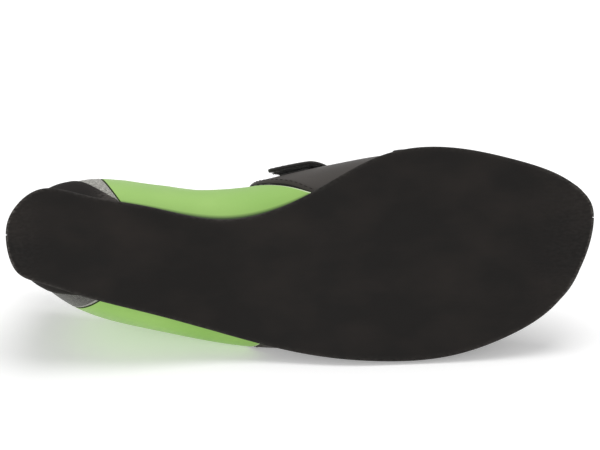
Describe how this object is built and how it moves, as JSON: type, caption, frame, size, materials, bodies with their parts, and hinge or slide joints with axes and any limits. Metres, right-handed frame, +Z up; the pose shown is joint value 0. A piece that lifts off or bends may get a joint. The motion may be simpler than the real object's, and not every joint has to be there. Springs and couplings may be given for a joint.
{
  "type": "climbing shoe",
  "caption": "Left climbing shoe with a smooth one-piece rubber sole, toe and heel rubber, a green upper and a hook-and-loop strap, lying on its outer side.",
  "frame": {"origin": "on the floor, under the middle of the shoe's bounding box as it lies on its outer side", "axes": "+X from heel to toe, +Z up from the floor, and the sole faces -Y, leaning back"},
  "size_m": [0.2652, 0.1048, 0.0898],
  "materials": {
    "sole_rubber": "smooth, matte, faintly brushed",
    "rand_rubber": "smooth, satin",
    "green_upper": "smooth synthetic leather",
    "black_webbing": "woven",
    "tongue_cloth": "padded knit",
    "lining_cloth": "brushed cloth"
  },
  "bodies": {
    "root": {"outsole": "sole_rubber", "insole": "lining_cloth", "upper": "green_upper", "toe_rand": "rand_rubber", "heel_rand": "rand_rubber", "loop_patch": "black_webbing", "hook_tape": "black_webbing", "strap": "black_webbing", "tongue": "tongue_cloth", "pull_loop": "black_webbing"}
  },
  "joints": []
}
